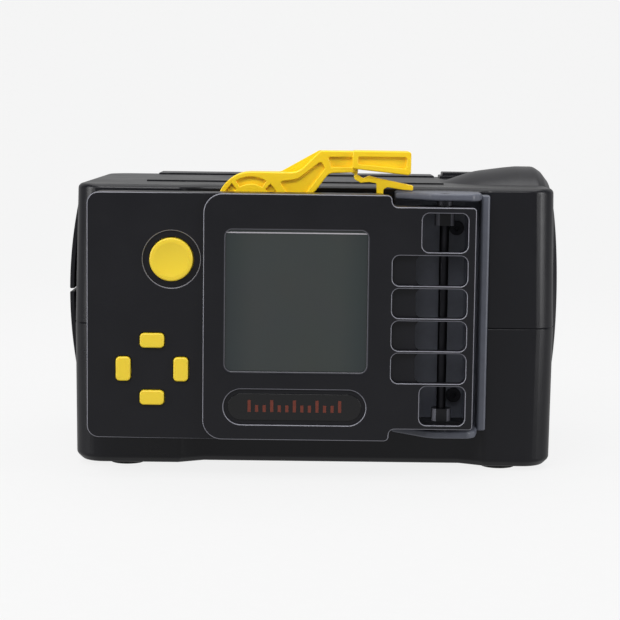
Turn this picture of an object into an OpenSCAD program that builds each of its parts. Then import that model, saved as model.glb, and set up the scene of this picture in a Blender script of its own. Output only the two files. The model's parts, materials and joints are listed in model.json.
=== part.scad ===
// Portable shooting chronograph with a flip-out display head.
// Frame: X to the right, Y to the back, Z up; the origin is the mouth of the
// tripod socket, in the middle of the housing's underside.

/* [Housing] */
// Housing width at the parting line
body_w = 158.6; // [150:0.2:165]
// Housing depth, front to back
body_d = 100; // [96:1:104]
// Housing height without the feet
body_h = 92; // [90:1:94]
// Height of the parting line between the two shells
split_z = 46.2; // [40:0.2:52]
// Wall thickness of the shells
wall = 2.4; // [2:0.1:3]
// Radius of the housing's upright corners
corner_r = 9.5; // [6:0.5:12]
// Depth of the recess behind the display head
recess_d = 4.4; // [3:0.1:5]

/* [Sensing tunnel] */
// Height of the tunnel's axis
tunnel_z = 55.5; // [54:0.5:57]
// Inner radius of the tunnel
tunnel_r = 25; // [20:0.5:26]
// Radius of the entry collar
collar_r = 42.3; // [40:0.1:43]
// Radius of the flared mouth
mouth_r = 36.5; // [33:0.5:37]

/* [Display head] */
// Height of the head
head_h = 78.4; // [76:0.2:80]
// Thickness of the head
head_t = 14; // [13:0.5:14.5]
// Gap between the head's back and the housing's front
head_gap = 6; // [5.5:0.1:6.5]
// Side of the display window
window_w = 45.1; // [40:0.1:46]

/* [Hinge] */
// Distance of the head's hinge pin to the right of the middle
hinge_x = 41; // [40:0.1:42]
// Radius of the hinge pin
hinge_pin_r = 1.5; // [1.2:0.1:1.8]
// Radial running clearance of pins and shafts
run = 0.05; // [0.02:0.01:0.1]

/* [Buttons] */
// Radius of the power button
power_r = 6.85; // [5:0.05:7]
// Travel of the buttons
press = 0.8; // [0.4:0.1:0.9]
// Distance of the four keys from the middle of the pad
key_ring = 9.15; // [8.8:0.05:10]

/* [Hidden] */

$fn = 64;
hull_fn = 32;
eps = 0.01;

half_mid = body_w / 2;
half_top = half_mid - 1;
half_low = half_mid - 0.4;
front_y = -body_d / 2;
back_y = body_d / 2;
floor_y = front_y + recess_d;
inner_front_y = floor_y + wall;
inner_back_y = back_y - wall;
edge_r = 1;
low_r = 2.2;

// Front recess: floor and top of its two slopes
recess_floor_x = [-35.8, 48.1];
recess_top_x = [-44, 56.3];

// Feet and case screws, as distances from the middle
foot_x = 62;
foot_y = 39.5;
foot_r = 6;
foot_h = 1.2;
foot_sink = 0.8;
screw_x = 70;
screw_y = 44.4;
screw_seat_z = 30;

// Top plate, in two tiers, and the antenna cover
plate_seat = 0.8;
top_x = [-57.5, 43.4];
top_y = [-22, 27.5, 45];
tier = [0.5, 1.1];
antenna_x = [46, 66];
antenna_y = [34, 46];

// Tunnel
tunnel_t = 2.5;
tunnel_x = [-72, 46];
collar_x = [44, 66, 76, 80.7];
ramp_r = body_h - tunnel_z;
collar_t = 2.4;
gate_x = [-40, 20];
gate_rows = [-12, 0, 12];
led_r = 1.5;
gate_inner = tunnel_r + tunnel_t + 0.3;
main_board_y = -38;

// Exit doors: a shallow bow, hinged on barrels at its top and bottom
bow_x = -82.4;
bow_r = 150;
door_t = 1.6;
door_gap = 1;
door_y = 32;
barrel_r = 2.5;
barrel_x = -76.9;
door_pin_r = 0.9;
barrel_dz = 29.5;
door_clear = 0.35;
door_swing_clear = 0.8;

// Battery compartment in the back
cell_r = 7.15;
cell_l = 50.5;
cell_z = [11.6, 26.4];
cell_y = 38.9;
bay_x = 54;
bay_z = [3.4, 35];
bay_mid = -11.6;
lid_x = 52;
lid_z = [6.2, 33];
lid_t = 2;
lid_clear = 0.4;
lid_hinge_z = 8;
lid_hinge_y = back_y - 1.8;

// Tripod socket: tapping-drill radius and depth of the 1/4-20 thread
tripod_hole_r = 2.55;
tripod_depth = 8;

// Slide switch in the back wall
switch_x = 56;
switch_z = 19;

// Head
head_back_y = front_y - head_gap;
head_front_y = head_back_y - head_t;
plate_y = head_front_y + 1.5;
plate_t = 2.2;
plate_in_y = plate_y + plate_t;
head_join_y = head_back_y - 4;
head_z0 = 12;
head_z1 = head_z0 + head_h;
head_x0 = -72.3;
yoke_x0 = 24;
yoke_x1 = 50.6;
yoke_z0 = head_z0 + 3.9;
yoke_z1 = head_z1 - 3.7;
display_x0 = -35.4;
head_wall = 2;
box_x1 = 31.9;
hinge_y = head_back_y - 6.5;

window_x = -5.9;
window_z = 56.5;
bevel = 1.4;
bevel_t = 0.9;
lens_y = head_front_y + 1;
lens_t = 1.2;
lens_lap = 1.1;
label_x = -6.1;
label_z = 22.6;
label_w = 45.2;
label_h = 11.3;

power_x = -45.5;
power_z = 69.3;
pad_x = -51.5;
pad_z = 34.3;
key_l = 7.7;
key_w = 4.65;
key_r = 1.3;
cap_clear = 0.3;
cap_in_y = plate_in_y + 1.4;
board_y = [plate_in_y + 3.8, plate_in_y + 5];

// Vent windows of the yoke: left, right, bottom, top
vent_right = 48;
vents = [[33.6, 72.6, 84.8], [24.4, 61.9, 71.4], [24.4, 51.6, 60.9],
    [24.4, 41.2, 50.6], [24.4, 30.8, 40.3], [33.6, 17.4, 29.8]];
vent_r = 2.2;

// Hinge bracket
leg_z = [12.1, 88.4];
leg_t = 2.45;
spine_z = [13.4, 90];

// Hanger arm, drawn in X and Z
hub = [-21, 85.7];
hub_r = 11;
arm_y0 = head_back_y + 1;
arm_y1 = floor_y - 0.6;
web_t = 2;
tab_y0 = head_back_y - 1;
arm_shaft_r = 2.5;
arm_low = [[4.1, 96.5], [-0.2, 90.7], [-14.6, 76.8], [-21, 74.7]];
flex = [12.9, 95.2];
flex_r = 0.8;
tongue_y1 = front_y - 0.4;

screw_pts = [[-67.8, 16.4], [-67.8, 86], [-30, 87], [-30, 15.2], [20, 87], [20, 15.2]];
board_pts = [[-40, 14], [32, 14], [-40, 70], [32, 70]];
bracket_pts = [[30, 24], [46, 24], [30, 79], [46, 79]];

black = [0.12, 0.12, 0.13];
dark = [0.2, 0.2, 0.22];
yellow = [0.96, 0.8, 0.12];
green = [0.1, 0.35, 0.2];
steel = [0.75, 0.76, 0.78];
brass = [0.8, 0.65, 0.3];

// ---- helpers ----

// Extrudes a drawing in X and Z between two depths
module depth(y0, y1) {
    translate([0, y1, 0]) rotate([90, 0, 0]) linear_extrude(y1 - y0) children();
}

// Rounded rectangle between two corners
module rrect(x0, x1, z0, z1, r) {
    translate([x0 + r, z0]) square([x1 - x0 - 2 * r, z1 - z0]);
    translate([x0, z0 + r]) square([x1 - x0, z1 - z0 - 2 * r]);
    for (x = [x0 + r, x1 - r], z = [z0 + r, z1 - r]) translate([x, z]) circle(r);
}

module box(x0, x1, y0, y1, z0, z1) {
    translate([x0, y0, z0]) cube([x1 - x0, y1 - y0, z1 - z0]);
}

// Round bar along Y, through a point given in X and Z
module rod_y(p, r, y0, y1) {
    translate([p[0], y1, p[1]]) rotate([90, 0, 0]) cylinder(r = r, h = y1 - y0);
}

// Round bar along X, through a point given in Y and Z
module rod_x(p, r, x0, x1) {
    translate([x0, p[0], p[1]]) rotate([0, 90, 0]) cylinder(r = r, h = x1 - x0);
}

// One thin slice of the housing, used as an end of a hull
module slice(half_x, half_y, r, z) {
    translate([0, 0, z - eps])
        for (x = [-1, 1], y = [-1, 1])
            translate([x * (half_x - r), y * (half_y - r), 0])
                cylinder(r = r, h = eps, $fn = hull_fn);
}

// Turned shape about the tunnel's axis, from points of [x, radius]
module turned(pts) {
    translate([0, 0, tunnel_z]) rotate([0, 90, 0]) rotate([0, 0, 90])
        rotate_extrude($fn = 128) polygon([for (p = pts) [p[1], p[0]]]);
}

// Repeats a shape in all four corners
module corners(x, y) {
    for (i = [-1, 1], j = [-1, 1]) translate([i * x, j * y, 0]) children();
}

// ---- housing ----

module recess_cut() {
    y = front_y - 1;
    translate([0, 0, -1]) linear_extrude(body_h + 2) polygon([
        [recess_top_x[0], front_y], [recess_floor_x[0], floor_y],
        [recess_floor_x[1], floor_y], [recess_top_x[1], front_y],
        [recess_top_x[1], y], [recess_top_x[0], y]]);
}

module upper_block() {
    hull() {
        slice(half_mid, back_y, corner_r, split_z + eps);
        slice(half_top, back_y, corner_r, body_h - edge_r);
        slice(half_top - edge_r, back_y - edge_r, corner_r - edge_r, body_h);
    }
}

module lower_block() {
    hull() {
        slice(half_mid, back_y, corner_r, split_z);
        slice(half_low, back_y, corner_r, low_r);
        slice(half_low - low_r, back_y - low_r, corner_r - low_r, eps);
    }
}

// Room inside the shells, stepped round the front recess
module cavity(z0, z1) {
    inner_x = half_top - wall;
    box(-inner_x + 5, inner_x - 5, inner_front_y, inner_back_y, z0, z1);
    box(-inner_x, inner_x, inner_front_y, inner_back_y - 5, z0, z1);
    box(-inner_x + 5, recess_top_x[0] - wall, front_y + wall, inner_front_y + eps, z0, z1);
    box(recess_top_x[1] + wall, inner_x - 5, front_y + wall, inner_front_y + eps, z0, z1);
}

// Outside of the entry collar, grown by a clearance
module collar_envelope(grow) {
    x = collar_x;
    turned([[x[0], 0], [x[0], ramp_r + grow], [(x[0] + x[1]) / 2, ramp_r + 3.9 + grow],
        [x[1], collar_r - 0.4 + grow], [x[1] + 4, collar_r + grow],
        [x[2], collar_r + grow], [x[2] + 2.4, collar_r - 1.6 + grow],
        [x[3], mouth_r + 1.2 + grow], [x[3] + 1, mouth_r + grow], [x[3] + 1, 0]]);
}

module door_opening() {
    z = barrel_dz + barrel_r + door_swing_clear;
    box(-half_mid - 1, -70, -door_y - door_clear, door_y + door_clear,
        tunnel_z - z, tunnel_z + z);
}

module door_lugs() {
    for (s = [-1, 1], t = [-1, 1])
        translate([-76.2, s * (door_y + door_clear + 1.6), tunnel_z + t * barrel_dz])
            cube([3.6, 3.2, 7], center = true);
}

module door_pin_bores() {
    for (t = [-1, 1])
        rod_y([barrel_x, tunnel_z + t * barrel_dz], door_pin_r, -door_y - 3, door_y + 3);
}

module battery_opening() {
    g = lid_clear;
    x = lid_x + g;
    z = lid_z[0] - g;
    translate([bay_mid, 0, 0]) depth(inner_back_y - 1, back_y + 1) {
        rrect(-x, x, z, lid_z[1] + g, 2 + g);
        translate([-x, z]) square([2 * x, 8]);
    }
}

module switch_opening() {
    depth(inner_back_y - 1, back_y + 1)
        rrect(switch_x - 6, switch_x + 6, switch_z - 4, switch_z + 4, 1.5);
}

module upper_shell() {
    color(black) difference() {
        union() {
            difference() {
                upper_block();
                cavity(split_z - 1, body_h - wall);
            }
            corners(screw_x, screw_y) translate([0, 0, split_z]) cylinder(r = 3.4, h = 26);
            for (p = board_pts) if (p[1] > split_z)
                rod_y(p, 2.6, inner_front_y - eps, main_board_y);
            for (p = bracket_pts) if (p[1] > split_z)
                rod_y(p, 2.6, inner_front_y - eps, inner_front_y + 3.6);
            rod_y(hub, 4.2, inner_front_y - eps, inner_front_y + 3.4);
            intersection() {
                door_lugs();
                box(-90, 0, -60, 60, split_z, body_h);
            }
        }
        recess_cut();
        collar_envelope(0.15);
        door_opening();
        door_pin_bores();
        corners(screw_x, screw_y) translate([0, 0, split_z - 1]) cylinder(r = 1.3, h = 14);
        for (p = board_pts) rod_y(p, 1.05, main_board_y - 5, main_board_y + 1);
        for (p = bracket_pts) rod_y(p, 1.25, floor_y - 3, floor_y + 5.2);
        rod_y(hub, 1.55, floor_y - 3, floor_y + 5.2);
        top_plate_seat();
        antenna_seat();
    }
}

module lower_shell() {
    color(black) difference() {
        union() {
            difference() {
                lower_block();
                cavity(wall, split_z + 1);
            }
            corners(screw_x, screw_y) translate([0, 0, 1]) cylinder(r = 4.2, h = split_z - 1);
            for (p = board_pts) if (p[1] < split_z)
                rod_y(p, 2.6, inner_front_y - eps, main_board_y);
            for (p = bracket_pts) if (p[1] < split_z)
                rod_y(p, 2.6, inner_front_y - eps, inner_front_y + 3.6);
            translate([0, 0, 1]) cylinder(r = 8, h = 9);
            for (a = [0 : 45 : 315]) rotate([0, 0, a]) box(6, 20, -0.8, 0.8, 1, 5);
            intersection() {
                door_lugs();
                box(-90, 0, -60, 60, 0, split_z);
            }
        }
        recess_cut();
        collar_envelope(0.15);
        door_opening();
        door_pin_bores();
        battery_opening();
        switch_opening();
        lid_pin_bore();
        corners(screw_x, screw_y) translate([0, 0, -1]) cylinder(r = 2.9, h = screw_seat_z + 1);
        corners(screw_x, screw_y) cylinder(r = 1.3, h = split_z + 1);
        corners(foot_x, foot_y) translate([0, 0, -1]) cylinder(r = foot_r + 0.05, h = foot_sink + 1);
        for (p = board_pts) rod_y(p, 1.05, main_board_y - 5, main_board_y + 1);
        for (p = bracket_pts) rod_y(p, 1.25, floor_y - 3, floor_y + 5.2);
        translate([0, 0, -1]) cylinder(r = 6, h = 10);
    }
}

module case_screws() {
    color(steel) corners(screw_x, screw_y) difference() {
        union() {
            translate([0, 0, screw_seat_z]) mirror([0, 0, 1]) cylinder(r = 2.6, h = 2);
            translate([0, 0, screw_seat_z]) cylinder(r = 1.25, h = 26);
        }
        translate([0, 0, screw_seat_z - 3]) cylinder(r = 1, h = 2.2, $fn = 6);
    }
}

module rubber_feet() {
    color(dark) corners(foot_x, foot_y) translate([0, 0, -foot_h])
        rotate_extrude() polygon([[0, 0], [foot_r - 0.4, 0], [foot_r, 0.4],
            [foot_r, foot_h + foot_sink], [0, foot_h + foot_sink]]);
}

// ---- top plate and antenna ----

module top_plate_seat() {
    box(top_x[0], top_x[1], top_y[0], top_y[2], body_h - plate_seat, body_h + 1);
}

module top_plate() {
    color(black) union() {
        box(top_x[0], top_x[1], top_y[0], top_y[2], body_h - plate_seat, body_h + tier[0]);
        box(top_x[0], top_x[1], top_y[1], top_y[2], body_h, body_h + tier[1]);
    }
}

module antenna_seat() {
    box(antenna_x[0], antenna_x[1], antenna_y[0], antenna_y[1], body_h - plate_seat, body_h + 1);
}

module antenna_cover() {
    x = antenna_x;
    y = antenna_y;
    color(black) difference() {
        union() {
            box(x[0], x[1], y[0], y[1], body_h - plate_seat, body_h + 1);
            box(x[0] + 1, x[1] - 1, y[0] + 1, y[1] - 1, body_h, body_h + 2.2);
        }
        box(x[0] + 2, x[1] - 2, y[0] + 2, y[1] - 2, body_h - 1, body_h + 1.2);
    }
}

module antenna_strip() {
    x = antenna_x;
    y = antenna_y;
    color(green) box(x[0] + 2.3, x[1] - 2.3, y[0] + 2.3, y[1] - 2.3, body_h - 0.6, body_h + 0.4);
    color(brass) for (i = [0 : 3])
        box(x[0] + 4 + 3.4 * i, x[0] + 5.4 + 3.4 * i, y[0] + 3.4, y[1] - 3.4,
            body_h + 0.4, body_h + 0.6);
}

// ---- tunnel ----

module sensing_tunnel() {
    color(dark) difference() {
        rod_x([0, tunnel_z], tunnel_r + tunnel_t, tunnel_x[0], tunnel_x[1]);
        rod_x([0, tunnel_z], tunnel_r, tunnel_x[0] - 1, tunnel_x[1] + 1);
        for (x = gate_x, y = gate_rows) translate([x, y, tunnel_z - 40])
            cylinder(r = led_r + 0.1, h = 80);
    }
}

module entry_collar() {
    x = collar_x;
    seat = tunnel_r + tunnel_t;
    color(black) turned([
        [x[0], ramp_r], [(x[0] + x[1]) / 2, ramp_r + 3.9], [x[1], collar_r - 0.4],
        [x[1] + 4, collar_r], [x[2], collar_r], [x[2] + 2.4, collar_r - 1.6],
        [x[3], mouth_r + 1.2], [x[3], mouth_r], [tunnel_x[1], tunnel_r],
        [tunnel_x[1], seat], [x[0], seat], [x[0], seat + collar_t],
        [tunnel_x[1], seat + collar_t], [x[2] - 2, mouth_r + 0.8],
        [x[2] - 2, collar_r - collar_t], [x[1], collar_r - collar_t - 0.4],
        [x[0] + 3, ramp_r - collar_t + 1], [x[0] + 3, ramp_r - collar_t - 0.2],
        [x[0], ramp_r - collar_t - 0.2]]);
}

module exit_frame() {
    x = tunnel_x[0];
    hole = tunnel_r + tunnel_t;
    color(dark) difference() {
        union() {
            box(x - 1.8, x, -34, 34, tunnel_z - 31, tunnel_z + 31);
            rod_x([0, tunnel_z], hole + 2, x - 1.8, x + 5);
        }
        rod_x([0, tunnel_z], tunnel_r, x - 3, x + eps);
        rod_x([0, tunnel_z], hole, x, x + 6);
        for (y = [-1, 1], z = [-1, 1]) translate([x - 3, y * 29, tunnel_z + z * 26])
            rotate([0, 90, 0]) cylinder(r = 2, h = 4);
    }
}

// One exit door: side is 1 for the upper door and -1 for the lower one
module exit_door(side) {
    centre_x = bow_x + bow_r;
    z0 = side > 0 ? door_gap / 2 : -barrel_dz;
    z1 = side > 0 ? barrel_dz : -door_gap / 2;
    intersection() {
        difference() {
            rod_y([centre_x, tunnel_z], bow_r, -door_y, door_y);
            rod_y([centre_x, tunnel_z], bow_r - door_t, -door_y - 1, door_y + 1);
        }
        box(bow_x - 1, barrel_x + 1, -door_y - 1, door_y + 1, tunnel_z + z0, tunnel_z + z1);
    }
    rod_y([barrel_x, tunnel_z + side * barrel_dz], barrel_r, -door_y, door_y);
    for (y = [-20, 0, 20]) {
        intersection() {
            difference() {
                rod_y([centre_x, tunnel_z], bow_r - door_t + eps, y - 0.7, y + 0.7);
                rod_y([centre_x, tunnel_z], bow_r - door_t - 1.6, y - 1, y + 1);
            }
            box(bow_x - 1, barrel_x + 3, y - 1, y + 1,
                tunnel_z + z0 + (side > 0 ? 3 : 0), tunnel_z + z1 - (side > 0 ? 0 : 3));
        }
    }
}

module door_bore(side) {
    rod_y([barrel_x, tunnel_z + side * barrel_dz], door_pin_r + run, -door_y - 1, door_y + 1);
}

module exit_door_upper() {
    color(black) difference() {
        exit_door(1);
        door_bore(1);
    }
}

module exit_door_lower() {
    color(black) difference() {
        exit_door(-1);
        door_bore(-1);
    }
}

module exit_door_pins() {
    color(steel) for (t = [-1, 1])
        rod_y([barrel_x, tunnel_z + t * barrel_dz], door_pin_r, -door_y - 2.8, door_y + 2.8);
}

// ---- electronics in the housing ----

module gate_boards() {
    color(green) for (x = gate_x) difference() {
        box(x + 3, x + 4.6, -33, 33, tunnel_z - 19.5, tunnel_z + 33);
        rod_x([0, tunnel_z], gate_inner, x, x + 8);
    }
}

// Emitters above the tunnel and receivers below it, on legs to their board
module gate_leds(side) {
    for (x = gate_x, y = gate_rows) {
        reach = sqrt(pow(tunnel_r, 2) - y * y) + 0.3;
        z0 = tunnel_z + side * reach;
        translate([x, y, z0]) mirror([0, 0, side > 0 ? 0 : 1]) {
            cylinder(r = led_r, h = 5);
            translate([0, 0, 4]) cylinder(r = 2, h = 1.4);
        }
    }
}

module gate_emitters() {
    color([0.7, 0.6, 0.85]) gate_leds(1);
}

module gate_receivers() {
    color([0.15, 0.15, 0.18]) gate_leds(-1);
}

module main_board() {
    color(green) difference() {
        box(-60, 38, main_board_y, main_board_y + 1.6, 8, 77);
        for (p = board_pts) rod_y(p, 1.25, main_board_y - 1, main_board_y + 3);
    }
}

module board_parts() {
    y = main_board_y + 1.6;
    color(dark) {
        box(-20, -6, y, y + 1.4, 16, 30);
        box(4, 12, y, y + 1.2, 12, 18);
        box(10, 26, y, y + 2.2, 60, 72);
        box(-56, -48, y, y + 3.4, 12, 24);
        for (x = [-34 : 5 : -24]) box(x, x + 3, y, y + 1.2, 62, 64);
        for (z = [20, 26, 32]) rod_y([20, z], 2.4, y, y + 3.6);
    }
}

module board_screws() {
    y = main_board_y + 1.6;
    color(steel) for (p = board_pts) difference() {
        union() {
            rod_y(p, 1, main_board_y - 4, y);
            rod_y(p, 2, y, y + 1.5);
        }
        rod_y(p, 0.7, y + 0.6, y + 2, $fn = 6);
    }
}

// ---- battery compartment ----

// Moves a drawing to the middle of the battery bay
module in_bay() {
    translate([bay_mid, 0, 0]) children();
}

module battery_tray() {
    y0 = cell_y - cell_r - 1.9;
    y1 = inner_back_y - 0.4;
    color(dark) in_bay() {
        difference() {
            box(-bay_x, bay_x, y0, y1, bay_z[0] - 0.9, bay_z[1]);
            box(-bay_x + 1.4, bay_x - 1.4, y0 + 1.5, back_y, bay_z[0] + 0.5, bay_z[1] - 1.4);
        }
        box(-0.5, 0.5, y0 + 1.4, y0 + 6, bay_z[0], bay_z[1] - 1);
    }
}

module battery_cells() {
    body_l = cell_l - 2;
    color([0.2, 0.3, 0.5]) in_bay() for (x0 = [-body_l - 2.1, 1.1], z = cell_z) {
        rod_x([cell_y, z], cell_r, x0, x0 + body_l);
        rod_x([cell_y, z], 2.7, x0 + body_l - eps, x0 + body_l + 1);
    }
}

module battery_contacts() {
    x = bay_x - 1.4;
    color(brass) in_bay() for (z = cell_z) {
        box(-x, -x + 0.5, cell_y - 4, cell_y + 4, z - 4.5, z + 4.5);
        box(x - 0.5, x, cell_y - 4, cell_y + 4, z - 4.5, z + 4.5);
    }
}

module lid_pin_bore() {
    in_bay() rod_x([lid_hinge_y, lid_hinge_z], 0.8, -lid_x - 3.4, lid_x + 3.4);
}

module battery_door() {
    y0 = back_y - lid_t;
    color(black) in_bay() difference() {
        union() {
            depth(y0, back_y) difference() {
                rrect(-lid_x, lid_x, lid_z[0], lid_z[1], 2);
                translate([-lid_x - 1, lid_z[0] - 1])
                    square([2 * lid_x + 2, lid_hinge_z - lid_z[0] + 1]);
            }
            rod_x([lid_hinge_y, lid_hinge_z], 1.8, -lid_x, lid_x);
            depth(y0 - 0.8, y0 + eps) rrect(-7, 7, lid_z[1] - 6, lid_z[1] - 1, 1);
        }
        rod_x([lid_hinge_y, lid_hinge_z], 0.8 + run, -lid_x - 1, lid_x + 1);
        for (x = [-6 : 2 : 6]) box(x - 0.4, x + 0.4, back_y - 0.5, back_y + 1,
            lid_z[1] - 7, lid_z[1] - 2);
        for (z = [14 : 3 : 22], s = [-1, 1]) box(s * 30 - 12, s * 30 + 12,
            back_y - 0.4, back_y + 1, z, z + 1);
    }
}

module battery_door_pin() {
    color(steel) in_bay()
        rod_x([lid_hinge_y, lid_hinge_z], 0.8, -lid_x - 3.2, lid_x + 3.2);
}

module power_switch_body() {
    x = switch_x;
    z = switch_z;
    color(dark) difference() {
        box(x - 7, x + 7, back_y - 7, inner_back_y, z - 5, z + 5);
        box(x - 5, x + 5, back_y - 4, back_y, z - 3, z + 3);
    }
}

module power_switch_knob() {
    x = switch_x - 4.4;
    z = switch_z;
    color(yellow) {
        box(x, x + 5.4, back_y - 3.7, back_y - 2.2, z - 2.6, z + 2.6);
        difference() {
            box(x + 0.7, x + 4.7, back_y - 2.3, back_y - 0.4, z - 2.1, z + 2.1);
            for (i = [-1 : 1]) box(x + 2.45 + 1.2 * i, x + 2.95 + 1.2 * i,
                back_y - 0.8, back_y, z - 3, z + 3);
        }
    }
}

module tripod_insert() {
    color(brass) difference() {
        union() {
            cylinder(r = 6, h = 6.6);
            translate([0, 0, 6.6 - eps]) cylinder(r = 5.4, h = 2.4);
        }
        translate([0, 0, -1]) cylinder(r = tripod_hole_r, h = tripod_depth + 1);
    }
}

// ---- hinge bracket ----

module leg_plan() {
    difference() {
        polygon([[25.6, floor_y], [25.6, -53], [36.2, -63.4], [39, -64.5], [49.8, -64.5],
            [52.2, -62.2], [53.2, -57], [53.2, -50.2], [48.1, floor_y]]);
        translate([hinge_x, hinge_y]) circle(hinge_pin_r + 0.02);
    }
}

module hinge_bracket() {
    color([0.27, 0.28, 0.31]) difference() {
        union() {
            for (z = leg_z) translate([0, 0, z]) linear_extrude(leg_t) leg_plan();
            translate([0, 0, spine_z[0]]) linear_extrude(spine_z[1] - spine_z[0]) polygon([
                [25.6, floor_y], [48.1, floor_y], [56.1, -49.9], [56.1, -55.4],
                [55.4, -56.1], [53.9, -56.1], [53.2, -55.4], [53.2, -51],
                [48.6, floor_y - 2.5], [25.6, floor_y - 2.5]]);
        }
        for (p = bracket_pts) rod_y(p, 1.3, floor_y - 4, floor_y + 1);
    }
}

module bracket_screws() {
    y = floor_y - 2.5;
    color(dark) for (p = bracket_pts) difference() {
        union() {
            rod_y(p, 2.4, y - 1.5, y);
            rod_y(p, 1.2, y - eps, floor_y + 5);
        }
        rod_y(p, 0.9, y - 2, y - 0.6, $fn = 6);
    }
}

module hinge_pin() {
    color(dark) translate([hinge_x, hinge_y, leg_z[0]])
        cylinder(r = hinge_pin_r, h = leg_z[1] + leg_t - leg_z[0]);
}

module hinge_washers() {
    low = leg_z[0] + leg_t;
    color(dark) for (z = [[low, yoke_z0 - 0.3], [yoke_z1 + 0.3, leg_z[1]]])
        translate([hinge_x, hinge_y, z[0]]) difference() {
            cylinder(r = 2.5, h = z[1] - z[0]);
            translate([0, 0, -1]) cylinder(r = hinge_pin_r + 0.02, h = 10);
        }
}

module latch_keeper() {
    color(black) depth(floor_y - 7.4, floor_y)
        polygon([[17.6, 83], [23.6, 83], [23.6, 87.6], [22.4, 88.8], [17.6, 88.8]]);
}

// ---- hanger arm ----

function arc(c, r, a0, a1, n) =
    [for (i = [0 : n]) let (a = a0 + (a1 - a0) * i / n) [c[0] + r * cos(a), c[1] + r * sin(a)]];

// The arm's back web, with a straight incline
module web_shape() {
    translate(hub) circle(hub_r);
    polygon(concat([[-21, 96.7], [-11.5, 96.7], [0.5, 103.4], [1.6, 103.7], [12.6, 103.7],
        [12.6, 96.8]], arm_low));
}

// The arm's front flanges, with a hollow curve up to the beam
module flange_shape() {
    translate(hub) circle(hub_r);
    polygon(concat([[-21, 96.7]], arc([-8.4, 102.3], 5.8, -95, -45, 8),
        [[0.4, 102.6], [1.6, 103.7], [12.6, 103.7], [12.6, 96.8]], arm_low));
}

module arm_pockets() {
    polygon(concat([[-11.9, 93.7]], arc([-8.2, 101.6], 7.4, -80, -52, 5),
        [[1.4, 100.3], [2.8, 98.1], [-2.8, 90.6], [-6.8, 86.4]]));
    polygon([[3.75, 101.7], [11.5, 101.7], [11.5, 98.5], [4.9, 98.5]]);
    difference() {
        translate(hub) circle(9.4);
        translate(hub) circle(7.1);
        for (a = [54 : 72 : 342]) translate(hub) rotate(a) translate([0, -0.7]) square([12, 1.4]);
    }
}

module hanger_arm() {
    color(yellow) difference() {
        union() {
            depth(arm_y1 - web_t, arm_y1) web_shape();
            depth(arm_y0, arm_y1 - web_t + eps) difference() {
                flange_shape();
                arm_pockets();
            }
            depth(tab_y0, arm_y1 - 0.4) polygon([[11.6, 103.4], [12.4, 103.9], [29.6, 103.7],
                [30.4, 103], [30.4, 97.1], [29.6, 96.2], [12.8, 98], [11.6, 98.8]]);
            depth(arm_y0 + 0.4, arm_y1 - 0.6) polygon([[11.4, 97.4], [13.2, 97.4],
                [13.4, 96.5], [12.3, 96.3], [11.4, 96.8]]);
        }
        depth(tab_y0 - 1, tab_y0 + 1.2)
            polygon([[13.4, 101.9], [28.9, 101.9], [28.9, 98.3], [13.4, 99.5]]);
        rod_y(hub, arm_shaft_r + run, arm_y0 - 1, arm_y1 + 1);
        rod_y(hub, 3.7, arm_y0 - 1, arm_y0 + 2.1);
    }
}

module arm_pivot_screw() {
    color(steel) difference() {
        union() {
            rod_y(hub, 3.3, arm_y0 + 0.2, arm_y0 + 1.8);
            rod_y(hub, arm_shaft_r, arm_y0 + 1.8 - eps, floor_y);
            rod_y(hub, 1.5, floor_y - eps, floor_y + 5);
        }
        box(hub[0] - 3.5, hub[0] + 3.5, arm_y0, arm_y0 + 0.9, hub[1] - 0.5, hub[1] + 0.5);
    }
}

module latch_tongue() {
    color(yellow) {
        rod_y(flex, flex_r, arm_y0 + 0.4, tongue_y1);
        depth(arm_y0 + 0.4, tongue_y1) polygon([[12.1, 95.6], [12.5, 94.6], [14.4, 93.5],
            [17, 93.8], [19.4, 93.4], [19.6, 89.3], [21.5, 89.3], [21.8, 91.6], [23, 92.2],
            [28, 91.4], [31.2, 91.2], [31.3, 92.8], [19.1, 95.3], [17, 95.9], [15, 95],
            [13.8, 95.8], [13.2, 96], [12.4, 95.9]]);
    }
}

// ---- display head ----

// Outline of the whole head in X and Z, with the stepped yoke on the right
module head_shape(inset) {
    r = max(3.8 - inset, 0.5);
    rrect(head_x0 + inset, yoke_x0 - inset, head_z0 + inset, head_z1 - inset, r);
    rrect(yoke_x0 - 8, yoke_x1 - inset, yoke_z0 + inset, yoke_z1 - inset, max(1.2 - inset, 0.3));
}

module box_shape(inset) {
    difference() {
        head_shape(inset);
        translate([box_x1 - inset, 0]) square([40, 100]);
    }
}

module display_shape() {
    rrect(display_x0, yoke_x0 - 1.8, head_z0, head_z1, 6.2);
    rrect(yoke_x0 - 12, yoke_x0, head_z0, head_z1, 1.6);
    rrect(yoke_x0 - 8, yoke_x1, yoke_z0, yoke_z1, 1.2);
}

module window_shape(grow) {
    w = window_w / 2 + grow;
    rrect(window_x - w, window_x + w, window_z - w, window_z + w, 1.4 + grow);
}

module label_shape(inset) {
    w = label_w / 2 - inset;
    h = label_h / 2 - inset;
    rrect(label_x - w, label_x + w, label_z - h, label_z + h, h - eps);
}

module key_shape(across, grow) {
    w = (across ? key_l : key_w) / 2 + grow;
    h = (across ? key_w : key_l) / 2 + grow;
    rrect(-w, w, -h, h, key_r + grow);
}

module key_holes() {
    for (s = [-1, 1]) {
        translate([pad_x, pad_z + s * key_ring]) key_shape(true, cap_clear);
        translate([pad_x + s * key_ring, pad_z]) key_shape(false, cap_clear);
    }
    translate([power_x, power_z]) circle(power_r + cap_clear);
}

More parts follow.
